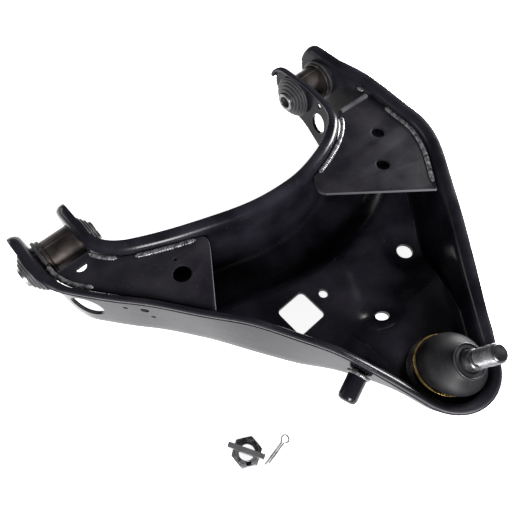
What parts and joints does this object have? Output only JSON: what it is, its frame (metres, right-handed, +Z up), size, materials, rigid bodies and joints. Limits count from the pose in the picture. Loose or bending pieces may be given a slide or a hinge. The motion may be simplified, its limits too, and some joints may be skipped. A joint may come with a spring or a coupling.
{
  "type": "control arm",
  "caption": "Stamped steel lower control arm with boxed legs, rubber pivot bushes, a pressed-in ball joint and its loose castle nut and cotter pin.",
  "frame": {"origin": "bottom centre of the whole part's bounding box, as it lies with its open side up", "axes": "+X along the pivot axis towards the front bush, +Y outboard towards the ball joint, +Z up out of the open side"},
  "size_m": [0.449, 0.416, 0.1368],
  "materials": {
    "pressing_paint": "glossy black paint",
    "plate_paint": "satin black paint",
    "weld_paint": "glossy painted weld bead",
    "dark_steel": "dark phosphated steel",
    "stud_steel": "dark machined steel",
    "bush_steel": "brownish bare steel",
    "sleeve_steel": "bare machined steel",
    "zinc": "bright zinc plate",
    "brass_ring": "brass-coloured ring",
    "rubber": "matt black rubber",
    "nylon": "natural nylon"
  },
  "bodies": {
    "arm": {"arm_pressing": "pressing_paint", "front_boxing_plate": "plate_paint", "rear_boxing_plate": "plate_paint", "weld_front_ear_side": "weld_paint", "weld_front_concave": "weld_paint", "weld_front_outer": "weld_paint", "weld_rear_concave": "weld_paint", "weld_rear_outer": "weld_paint", "weld_rear_spot": "weld_paint", "weld_steering_stop": "weld_paint", "steering_stop": "pressing_paint", "ball_joint_housing": "dark_steel", "ball_seat_liner": "nylon", "ball_joint_cover": "dark_steel", "grease_nipple": "zinc", "ball_joint_circlip": "dark_steel", "dust_boot": "rubber", "boot_base_ring": "brass_ring", "front_bush_shell": "bush_steel", "front_bush_rubber": "rubber", "front_bush_seal": "rubber", "front_bush_band": "sleeve_steel", "rear_bush_shell": "bush_steel", "rear_bush_rubber": "rubber", "rear_bush_seal": "rubber", "rear_bush_band": "sleeve_steel"},
    "front_sleeve": {"front_bush_sleeve": "sleeve_steel"},
    "rear_sleeve": {"rear_bush_sleeve": "sleeve_steel"},
    "stud_swing": {"boot_top_ring": "dark_steel"},
    "stud": {"ball_stud": "stud_steel"},
    "loose_nut": {"castle_nut": "dark_steel"},
    "loose_pin": {"cotter_pin": "zinc"}
  },
  "joints": [
    {"name": "front_sleeve_twist", "type": "hinge", "parent": "arm", "child": "front_sleeve", "pos_m": [0.18145, -0.17068, 0.059], "axis": [1, 0, 0], "range_deg": [-25, 25], "stiffness_Nm_per_rad": 50},
    {"name": "rear_sleeve_twist", "type": "hinge", "parent": "arm", "child": "rear_sleeve", "pos_m": [-0.18145, -0.17068, 0.059], "axis": [1, 0, 0], "range_deg": [-25, 25], "stiffness_Nm_per_rad": 50},
    {"name": "ball_joint_swing", "type": "hinge", "parent": "arm", "child": "stud_swing", "pos_m": [-0.00625, 0.16512, 0.064], "axis": [1, 0, 0], "range_deg": [-12, 42], "deforming": ["dust_boot"]},
    {"name": "ball_joint_spin", "type": "hinge", "parent": "stud_swing", "child": "stud", "pos_m": [-0.00625, 0.16512, 0.064], "axis": [-0.1262, 0.2568, 0.9582], "continuous": true},
    {"name": "nut_lift", "type": "slide", "parent": "arm", "child": "loose_nut", "axis": [0, 0, 1], "range_m": [0, 0.06]},
    {"name": "pin_lift", "type": "slide", "parent": "arm", "child": "loose_pin", "axis": [0, 0, 1], "range_m": [0, 0.06]}
  ]
}
